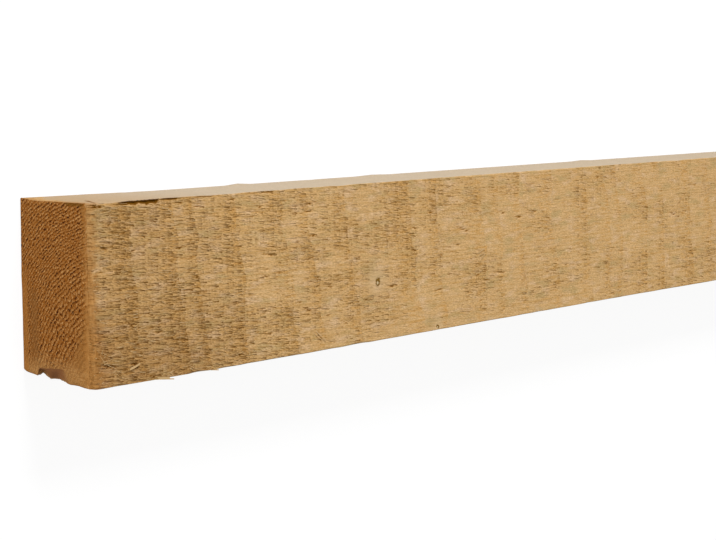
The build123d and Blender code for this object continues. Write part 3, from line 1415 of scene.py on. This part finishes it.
# %% [markdown]
# ## Narrow edges, the arris and the break
# The two narrow edges are greyer and paler than the wide faces, partly their own colour and partly a painted
# sheen of grazing light, and browner near the worn end. Beside the worn end the upper face is rubbed brown,
# and along its left arris it has split open, dark with torn wood and painted shade. Inside the break the
# wood is
# split, not sawn: smooth and reddish, with painted shade on the faces that turn downwards. All of these are
# places, not patterns, so their masks come from distances along and round the plank and from the surface's
# direction.

# %% Edges and break
# The narrow edges' grey cream is partly their own colour and partly a painted sheen of grazing light; near
# the worn end it is browner.
EDGE_WOOD_AND_SHEEN = (0.480, 0.418, 0.333, 1)
EDGE_NEAR_END = (0.430, 0.290, 0.160, 1)
SPLIT_WOOD = (0.256, 0.105, 0.035, 1)
# Painted shade for the break's faces that turn downwards.
UNDERSIDE_SHADE = (0.115, 0.045, 0.018, 1)


def on_edges(recipe, along, around, broken, colour):
    """A long face's colour, greyed on the narrow edges partly by a painted sheen, and dark in the corner
    crack partly by painted shade.
    """
    way, far_arris = abs(around), HALF_WIDTH + THICKNESS
    edge = way.step(HALF_WIDTH - 0.3, HALF_WIDTH + 0.3) * way.step(far_arris + 0.3, far_arris - 0.3)
    edge_colour = recipe.mix(along.step(80.0, 0.0) * 0.75, EDGE_WOOD_AND_SHEEN, EDGE_NEAR_END)
    # Painted sheen on the narrow edges, over their own paler, greyer colour.
    colour = recipe.mix(edge * (1.0 - broken) * 0.75, colour, edge_colour)
    crack = crack_line(recipe, along, around, *CORNER_CRACK)
    # The corner crack is painted dark: torn wood and the painted shade of its gap.
    return recipe.mix(crack * 0.85, colour, TORN_WOOD_AND_SHADE)


def by_worn_end(recipe, along, around, blotch, colour):
    """A long face's colour, rubbed beside the worn end, and dark in the split of its left arris with torn
    wood and painted shade.
    """
    rubbed = (along + blotch).step(6.0, 2.0) * (around.step(28.0, 8.0) * 0.35 + 0.5)
    rub_lines = recipe.noise(along * 1.1, around / 6, 21.0).step(0.38, 0.62) * 0.5
    colour = recipe.mix(rubbed, colour, recipe.mix(rub_lines, RUBBED_END, RUBBED_PALE))
    # The split along the left arris is painted dark: torn wood and the painted shade of the gap.
    deep = recipe.attribute("tear_depth").step(0.15, 0.40)
    split_and_shade = deep * around.step(HALF_WIDTH - 3.0, HALF_WIDTH - 2.0)
    return recipe.mix(split_and_shade * 0.95, colour, TORN_WOOD_AND_SHADE)


def in_break(recipe, z, direction, broken, colour):
    """The plank's colour with split wood where the right edge is broken, and painted shade on its faces that
    turn downwards.
    """
    under = recipe.most(direction["Y"].step(-0.15, -0.6), direction["Z"].step(0.3, 0.7))
    split = broken * under * (z.step(9.0, 11.5) * z.step(34.0, 26.0))
    colour = recipe.mix(split, colour, SPLIT_WOOD)
    # Painted shade where the break's faces turn downwards.
    rim = broken * direction["Y"].step(-0.6, -0.9)
    return recipe.mix(rim * 0.5, colour, UNDERSIDE_SHADE)


print("narrow edges", EDGE_WOOD_AND_SHEEN[:3], "and split wood", SPLIT_WOOD[:3])

# %% [markdown]
# ## The timber
# One material covers the whole plank, because it is one piece of wood. The surface's own direction decides
# between side grain and end grain, so the worn arris turns from one to the other as it rounds. Dry sawn wood
# hardly shines, so the shader's specular level is close to nothing, and roughness and bump come from the
# finish.

# %% Timber material
DULL = 0.03


def wood_material(name, dress):
    """A dull wood material; `dress` gets its recipe and returns its finish."""
    material = bpy.data.materials.new(name)
    material.use_nodes = True
    recipe = Recipe(material.node_tree)
    shader = material.node_tree.nodes["Principled BSDF"]
    finish = dress(recipe)
    bump = recipe.add("Bump", {"Strength": 1.0, "Distance": MM, "Height": finish.height})
    recipe.feed(shader.inputs["Base Color"], finish.colour)
    recipe.feed(shader.inputs["Normal"], bump["Normal"])
    recipe.feed(shader.inputs["Roughness"], finish.roughness)
    shader.inputs["Specular IOR Level"].default_value = DULL
    print(f"material {name}: {len(material.node_tree.nodes)} nodes")
    return material


def timber(recipe):
    """The finish of the plank: side grain on the long faces, end grain on the ends."""
    where = recipe.group(PLANK_PLACE)
    along, around = where["Along"], where["Around"]
    direction = recipe.parts(recipe.add("NewGeometry")["Normal"])
    here = recipe.parts(recipe.add("TexCoord")["Object"])
    y, z = here["Y"] / MM, here["Z"] / MM
    broken = recipe.attribute("broken").step(0.1, 1.0)
    blotch = (recipe.noise(along / 4, around / 3, 13.0) - 0.5) * 10.0
    face = sawn_face(recipe, along, around)
    for dress in (with_tears, darker_near_end, with_knots):
        face = dress(recipe, along, around, face)
    colour = on_edges(recipe, along, around, broken, face.colour)
    colour = by_worn_end(recipe, along, around, blotch, colour)
    beside_end = recipe.most(along.step(9.0, 7.0), along.step(LENGTH - 5.0, LENGTH - 3.0))
    turned = abs(direction["X"]) + blotch * 0.03
    # A faint painted highlight along the curve of the worn arris.
    arris_highlight = turned.step(0.15, 0.35) * turned.step(0.65, 0.45)
    colour = recipe.mix(arris_highlight * beside_end * 0.1, colour, END_PALE_AND_HIGHLIGHT)
    grain, fuzz = ringed_end(recipe, y, z)
    end = turned.step(0.72, 0.92) * beside_end
    colour = recipe.mix(end, colour, worn_end(recipe, y, z, grain.colour, fuzz))
    return Finish(
        in_break(recipe, z, direction, broken, colour),
        recipe.blend(end, face.height, grain.height),
        recipe.blend(end, face.roughness, grain.roughness),
    )


plank_mesh.materials.append(wood_material("sawn_softwood", timber))

# %% [markdown]
# ## Lifted fibres
# Between the tears the blade left fibres standing: thin wedges that are still rooted at one end, with the
# loose end lifted towards the plain end of the plank. A particle system could scatter them, but each one
# has to start in the surface, follow the grain and cluster at the saw lines, so they are made from arrays
# and joined into one mesh. A fibre is a spine of a few points with a three-sided section.

# %% Fibre builder


class Fibres(NamedTuple):
    """Fibres as arrays: spines from root to tip, the ways across and out, sizes and a tone from 0 to 1."""

    spine: np.ndarray
    across: np.ndarray
    outward: np.ndarray
    width: np.ndarray
    tone: np.ndarray


def fibre_faces(rings):
    """One fibre's faces: numbers of points (root, then rings of three), and their places on a sheet."""
    faces = [(0, 2, 1), (0, 1, 3), (0, 3, 2)]
    sheet = [[(side + 0.5, 0), (side, 1), (side + 1, 1)] for side in range(3)]
    for ring in range(rings - 1):
        left, right, under = (1 + 3 * ring + k for k in range(3))
        for side, (first, second) in enumerate(((right, left), (left, under), (under, right))):
            faces.append((first, first + 3, second + 3, second))
            sheet.append([(side, ring + 1), (side, ring + 2), (side + 1, ring + 2), (side + 1, ring + 1)])
    last = 3 * rings
    faces.append((last - 2, last - 1, last))
    sheet.append([(0.2, rings + 0.2), (1.2, rings + 0.2), (0.7, rings + 0.9)])
    flat = np.array([place for corners in sheet for place in corners])
    return faces, flat / (3, rings + 1)


def fibre_points(fibres):
    """The points of every fibre: its root, then its rings, which narrow a little towards the tip."""
    rings = fibres.spine.shape[1] - 1
    taper = np.linspace(1.0, 0.75, rings)[None, :, None]
    half = fibres.across[:, None] * fibres.width[:, None, None] / 2 * taper
    thick = fibres.outward[:, None] * fibres.width[:, None, None] * 0.45 * taper
    middle = fibres.spine[:, 1:]
    ringed = np.stack([middle + half, middle - half, middle - thick], 2)
    return np.concatenate([fibres.spine[:, :1], ringed.reshape(len(middle), -1, 3)], 1)


CELL_MARGIN = 0.08


def fibre_piece(name, batches):
    """One mesh of many fibres, with their tones on the points and a cell of the baking map for each."""
    points, faces, tones, cells = [], [], [], []
    side = math.ceil(math.sqrt(sum(len(fibres.tone) for fibres in batches)))
    point_count = fibre_count = 0
    for fibres in batches:
        made = fibre_points(fibres)
        size = made.shape[1]
        shape, sheet = fibre_faces(fibres.spine.shape[1] - 1)
        for number in range(len(made)):
            faces.extend([tuple(point_count + number * size + k for k in face) for face in shape])
        numbers = fibre_count + np.arange(len(made))
        corner = np.stack([numbers % side, numbers // side], -1)[:, None]
        cells.append((corner + CELL_MARGIN + (1 - 2 * CELL_MARGIN) * sheet).reshape(-1, 2) / side)
        points.append(made.reshape(-1, 3))
        tones.append(np.repeat(fibres.tone, size))
        point_count += made.shape[0] * size
        fibre_count += len(made)
    mesh = bpy.data.meshes.new(name)
    world = np.concatenate(points) * MM + np.array([plank_low.x, 0, 0])
    mesh.from_pydata(world.tolist(), [], faces)
    keep_on_points(mesh, "fibre_tone", np.concatenate(tones))
    keep_map(mesh, "OFBake", *np.concatenate(cells).T)
    piece = bpy.data.objects.new(name, mesh)
    bpy.context.scene.collection.objects.link(piece)
    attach(piece, "root")
    print(name, sum(len(p.vertices) - 2 for p in mesh.polygons), "triangles")
    return piece


# %% Grow fibres from a face
ROOT_DEPTH = 0.12


def face_ways(around):
    """The ways across and out of the face that holds each place round the section."""
    way = np.abs(around)
    side = np.sign(around)
    upper, under = way < HALF_WIDTH, way > HALF_WIDTH + THICKNESS
    nothing = np.zeros_like(way)
    across_y = np.where(upper, 1.0, np.where(under, -1.0, 0.0))
    across_z = np.where(upper | under, 0.0, -side)
    out_y = np.where(upper | under, 0.0, side)
    out_z = np.where(upper, 1.0, np.where(under, -1.0, 0.0))
    return np.stack([nothing, across_y, across_z], -1), np.stack([nothing, out_y, out_z], -1)


def surface_relief(x, around):
    """The relief of the nearest grid point."""
    row = np.clip(np.searchsorted(stations, x), 0, len(stations) - 1)
    column = np.clip(np.searchsorted(columns, around), 0, len(columns) - 1)
    return relief[: len(tube_points)].reshape(len(stations), len(columns))[row, column]


def grown_fibres(root_x, root_around, length, slant, lift, width, tone, bends):
    """Fibres rooted in the surface; `bends` lists shares of the length and of the lift, root to tip."""
    across, outward = face_ways(root_around)
    root = np.stack(shaped(root_x, *on_section(root_around)), -1)
    root = root + outward * surface_relief(root_x, root_around)[:, None]
    ahead = np.array([1.0, 0, 0]) + across * slant[:, None]
    points = []
    for share, rise in bends:
        out = lift * rise - ROOT_DEPTH * (1 - share)
        points.append(root + ahead * (length * share)[:, None] + outward * out[:, None])
    return Fibres(np.stack(points, 1), across, outward, width, tone)


def over_face(around, length, slant):
    """The same slants, but straight along the grain where a fibre would hang over an arris."""
    return np.where(np.abs(around + slant * length) > HALF_WIDTH - 0.4, 0.0, slant)


# %% Fibres at the saw lines
FIBRE_COUNT = 2000
TUFT_COUNT = 120
FIBRES_START = 3.0
STRAIGHT = ((0.0, -0.2), (0.6, 0.35), (1.0, 1.0))
CURLED = ((0.0, -0.1), (0.35, 0.6), (0.7, 1.0), (1.0, 0.7))
WEDGE = ((0.0, -0.2), (1.0, 1.0))


def saw_fibres(count, seed):
    """Fibres of the photographed stretch: most end at a saw line, where the patch is badly torn."""
    rng = np.random.default_rng(seed)
    spots = draw_tears(count, seed)
    size = len(spots.head)
    length = rng.gamma(3.0, 1.0, size) + 1.0
    astray = rng.random(size) < 0.08
    slant = np.where(astray, rng.normal(0, 0.6, size), spots.slant + rng.normal(0, 0.08, size))
    lift = rng.gamma(1.6, 0.11, size)
    width = rng.uniform(0.14, 0.34, size)
    tone = rng.uniform(0.1, 1.0, size)
    around = np.clip(spots.around, 0.9 - HALF_WIDTH, HALF_WIDTH - 0.9)
    slant = over_face(around, length, slant)
    root = np.maximum(spots.head - length * 0.6, FIBRES_START)
    return grown_fibres(root, around, length, slant, lift, width, tone, STRAIGHT)


def tuft_fibres(tufts, seed):
    """Pale curls that the blade pushed together at the saw lines and left pointing every way."""
    rng = np.random.default_rng(seed)
    places_of_tufts = draw_tears(tufts, seed)
    each = rng.integers(3, 9, len(places_of_tufts.head))
    count = each.sum()
    x = np.repeat(np.maximum(places_of_tufts.head, 2 * FIBRES_START), each) + rng.normal(0, 0.9, count)
    around = np.repeat(places_of_tufts.around, each) + rng.normal(0, 1.3, count)
    around = np.clip(around, 2 - HALF_WIDTH, HALF_WIDTH - 2)
    heading = rng.normal(0, 0.9, count)
    length = (rng.gamma(3.0, 0.6, count) + 0.7) * np.cos(heading)
    slant = np.tan(np.clip(heading, -1.3, 1.3))
    slant = over_face(around, length, slant)
    lift = rng.gamma(2.0, 0.25, count)
    width = rng.uniform(0.14, 0.30, count)
    tone = rng.uniform(0.0, 0.5, count)
    return grown_fibres(x, around, length, slant, lift, width, tone, CURLED)


# %% Crumbs on the arris and fibres further on
CRUMB_COUNT = 90
FAR_FIBRE_COUNT = 5000


def arris_crumbs(count, seed):
    """Short pale ends of fibre on the worn arris, pointing every way."""
    rng = np.random.default_rng(seed)
    x = rng.uniform(2.0, 6.5, count)
    around = rng.uniform(2 - HALF_WIDTH, HALF_WIDTH - 2, count)
    heading = rng.normal(0, 0.8, count)
    length = rng.uniform(0.5, 1.4, count) * np.cos(heading)
    slant = np.tan(np.clip(heading, -1.3, 1.3))
    lift = rng.uniform(0.15, 0.45, count)
    width = rng.uniform(0.16, 0.34, count)
    tone = rng.uniform(0.4, 0.9, count)
    return grown_fibres(x, around, length, slant, lift, width, tone, CURLED)


def far_fibres(count, seed):
    """Sparser fibres on the rest of the upper face, where nothing closer is known."""
    rng = np.random.default_rng(seed)
    x = rng.uniform(DETAILED_LENGTH, LENGTH - 12, count)
    around = rng.uniform(1 - HALF_WIDTH, HALF_WIDTH - 1, count)
    length = rng.gamma(3.0, 1.2, count) + 1.5
    slant = rng.normal(TEAR_SLANT, 0.08, count)
    slant = over_face(around, length, slant)
    lift = rng.gamma(1.6, 0.15, count)
    width = rng.uniform(0.2, 0.5, count)
    tone = rng.random(count)
    return grown_fibres(x, around, length, slant, lift, width, tone, WEDGE)


lifted = fibre_piece(
    "lifted_fibres",
    [
        saw_fibres(FIBRE_COUNT, 67),
        tuft_fibres(TUFT_COUNT, 71),
        arris_crumbs(CRUMB_COUNT, 79),
        far_fibres(FAR_FIBRE_COUNT, 73),
    ],
)

# %% [markdown]
# ## Splinters
# A few splinters are large enough to know one by one: they stand or lie at their own angle and throw a
# shadow of their own. They use the same builder with more points in the spine, so that they bend.

# %% Splinters


class Splinter(NamedTuple):
    """A large loose splinter: its root on the upper face, length, heading from the grain, width and lift."""

    along: float
    around: float
    length: float
    heading: float
    width: float
    lift: float


SPLINTERS = (
    Splinter(19.4, -31.6, 5.7, 24, 1.0, 1.1),
    Splinter(121.8, -26.7, 10.0, -40, 0.6, 0.8),
    Splinter(121.1, -28.0, 8.0, -38, 0.4, 0.5),
    Splinter(107.5, 7.3, 7.4, 33, 0.5, 1.0),
    Splinter(108.4, 5.7, 4.6, 24, 0.4, 0.8),
    Splinter(235.4, -2.6, 6.1, 25, 0.6, 0.9),
    Splinter(236.3, -4.2, 5.4, 28, 0.5, 0.8),
    Splinter(238.1, -5.2, 4.5, 31, 0.5, 0.8),
    Splinter(146.3, 28.6, 5.3, 76, 0.5, 0.9),
    Splinter(148.0, 28.0, 4.8, 72, 0.4, 0.7),
    Splinter(206.7, 28.8, 5.1, 73, 0.55, 0.8),
    Splinter(31.5, -36.8, 10.8, -8, 0.6, 0.2),
    Splinter(31.0, -36.7, 9.0, -5, 1.1, 0.2),
    Splinter(60.5, -37.0, 5.6, -9, 0.6, 0.2),
    Splinter(53.9, -26.7, 3.0, 2, 0.5, 0.5),
    Splinter(53.9, -32.8, 2.6, 98, 0.45, 0.5),
    Splinter(55.6, -33.5, 3.0, 107, 0.45, 0.5),
    Splinter(32.1, -28.8, 1.5, 98, 0.45, 0.4),
)
BOWED = ((0.0, -0.15), (0.25, 0.35), (0.5, 0.75), (0.75, 1.0), (1.0, 0.9))


def splinter_fibres():
    """The listed splinters, bowed and pale."""
    along, around, length, heading, width, lift = (np.array(column, float) for column in zip(*SPLINTERS))
    turn = np.radians(heading)
    tone = np.linspace(0.0, 0.4, len(along))
    return grown_fibres(along, around, length * np.cos(turn), np.tan(turn), lift, width, tone, BOWED)


splinters = fibre_piece("splinters", [splinter_fibres()])

# %% [markdown]
# ## The loose fibres' finish
# A loose fibre is the same wood, but torn from inside it, so it is cleaner and has a material of its own.
# The tone kept with each fibre spreads them from straw to brown, and thin streaks run along them.

# %% Fibre material
PALE_FIBRE = (0.580, 0.390, 0.188, 1)
BROWN_FIBRE = (0.420, 0.230, 0.080, 1)


def loose_fibre(recipe):
    """The finish of torn softwood fibre, straw to brown."""
    here = recipe.parts(recipe.add("TexCoord")["Object"])
    along, across = here["X"] / MM, here["Y"] / MM
    streak = streaks(recipe, along, across, length=2.0, thickness=0.15)
    tone = recipe.attribute("fibre_tone").step(0.45, 1.0) * 0.8 + streak * 0.2
    return Finish(recipe.mix(tone, PALE_FIBRE, BROWN_FIBRE), streak * 0.03, streak * -0.15 + 0.85)


TORN_FIBRE = wood_material("torn_fibre", loose_fibre)
for piece in (lifted, splinters):
    piece.data.materials.append(TORN_FIBRE)

# %% [markdown]
# ## Light
# The photograph has soft daylight from above and a little from the front: the narrow face on top is
# brightest, the wide face next, and the sawn end is in shade. One large lamp gives that order, a weak one
# opens the end's shade, and the world fills the rest evenly. The world lights at less than half strength,
# but a camera ray that meets it sees plain white, and so does a mirrored ray.

# %% Lamps
LIT_PLACE = Vector((plank_low.x + 0.25, 0, plank_high.z))


def soft_lamp(name, towards, distance, size, power):
    """A square area lamp that looks at the photographed stretch of the plank."""
    data = bpy.data.lights.new(name, "AREA")
    data.size = size
    data.energy = power
    lamp = bpy.data.objects.new(name, data)
    direction = Vector(towards).normalized()
    lamp.location = LIT_PLACE + direction * distance
    lamp.rotation_euler = direction.to_track_quat("Z", "Y").to_euler()
    bpy.context.scene.collection.objects.link(lamp)
    return lamp


soft_lamp("key_lamp", towards=(-0.05, 0.75, 0.65), distance=2.6, size=0.8, power=55)
soft_lamp("end_fill_lamp", towards=(-1.0, 0.05, 0.1), distance=2.2, size=0.3, power=10.5)
print("lamps:", [lamp.name for lamp in bpy.data.lights])

# %% World
WHITE = (1, 1, 1, 1)
WORLD_LIGHT = 0.45


def seen_directly(recipe):
    """1 for rays that show a thing to the camera, straight or in a reflection, and 0 for rays that light."""
    ray = recipe.add("LightPath")
    mirrored = recipe.most(ray["Is Glossy Ray"], ray["Is Transmission Ray"])
    return recipe.most(ray["Is Camera Ray"], mirrored)


def pale_world():
    """An even white world: dim as a light, white to look at."""
    world = bpy.data.worlds.new("pale_studio")
    world.use_nodes = True
    recipe = Recipe(world.node_tree)
    background = world.node_tree.nodes["Background"]
    background.inputs["Color"].default_value = WHITE
    recipe.feed(background.inputs["Strength"], recipe.blend(seen_directly(recipe), WORLD_LIGHT, 1.0))
    return world


bpy.context.scene.world = pale_world()
bpy.context.scene.view_settings.view_transform = "Standard"
print("world:", bpy.context.scene.world.name)

# %% [markdown]
# ## Floor
# The plank lies on a pale floor that should look like white paper and still catch its shadow. A plain white
# surface goes grey wherever less light falls, so the floor glows almost to white by itself and only a
# little of its colour comes from the lamps. Rays that carry light from the floor to the plank see an
# ordinary matte floor instead, so that the glow does not light the plank.

# %% Floor
FLOOR_REACH = 8.0
FLOOR_DROP = 0.0003
MATTE_FLOOR = (0.8, 0.8, 0.8, 1)
SHADED_FLOOR = (0.14, 0.14, 0.14, 1)
FLOOR_GLOW = 0.90


def pale_floor():
    """A wide floor just under the plank, white to the camera but keeping the plank's shadow."""
    mesh = bpy.data.meshes.new("floor")
    signs = ((-1, -1), (1, -1), (1, 1), (-1, 1))
    corners = [(x * FLOOR_REACH, y * FLOOR_REACH, -FLOOR_DROP) for x, y in signs]
    mesh.from_pydata(corners, [], [(0, 1, 2, 3)])
    floor = bpy.data.objects.new("floor", mesh)
    bpy.context.scene.collection.objects.link(floor)
    material = bpy.data.materials.new("pale_floor")
    material.use_nodes = True
    recipe = Recipe(material.node_tree)
    nodes = material.node_tree.nodes
    nodes.remove(nodes["Principled BSDF"])
    matte = recipe.add("BsdfDiffuse", {"Color": MATTE_FLOOR})[0]
    shadow_catcher = recipe.add("BsdfDiffuse", {"Color": SHADED_FLOOR})[0]
    glow = recipe.add("Emission", {"Color": WHITE, "Strength": FLOOR_GLOW})[0]
    seen_white = recipe.add("AddShader", {0: shadow_catcher, 1: glow})[0]
    surface = recipe.add("MixShader", {0: seen_directly(recipe), 1: matte, 2: seen_white})[0]
    recipe.feed(nodes["Material Output"].inputs["Surface"], surface)
    mesh.materials.append(material)
    return floor


pale_floor()
